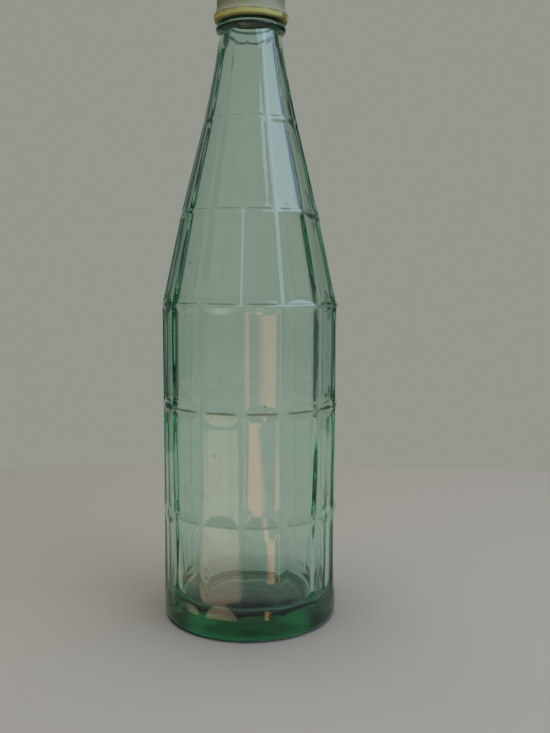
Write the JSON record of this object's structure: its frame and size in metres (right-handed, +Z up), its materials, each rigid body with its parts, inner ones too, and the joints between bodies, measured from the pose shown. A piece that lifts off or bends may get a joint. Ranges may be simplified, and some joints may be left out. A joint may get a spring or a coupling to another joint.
{
  "type": "soda bottle",
  "caption": "Tall glass soda bottle with flat panels between raised ribs, a tapering neck and a threaded mouth, closed by a removable plastic screw cap.",
  "frame": {"origin": "centre of the base, on the plane that the bottle stands on", "axes": "+Z up along the bottle's axis, -Y towards the front of the picture, +X to its right"},
  "size_m": [0.087, 0.087, 0.3094],
  "materials": {
    "bottle_glass": "smooth pale green bottle glass",
    "cap_plastic": "aged cream plastic, slightly glossy",
    "disc_rubber": "soft off-white sealing compound"
  },
  "bodies": {
    "bottle": {"glass_bottle": "bottle_glass"},
    "disc": {"sealing_disc": "disc_rubber"},
    "cap": {"screw_cap": "cap_plastic"}
  },
  "joints": [
    {"name": "cap_lift", "type": "slide", "parent": "bottle", "child": "disc", "axis": [0, 0, 1], "range_m": [0, 0.0216]},
    {"name": "cap_turn", "type": "hinge", "parent": "disc", "child": "cap", "pos_m": [0, 0, 0.3077], "axis": [0, 0, 1], "range_deg": [0, 2160]}
  ],
  "couplings": [
    {"joint": "cap_lift", "follows": "cap_turn", "m_per_rad": 0.00057296}
  ]
}
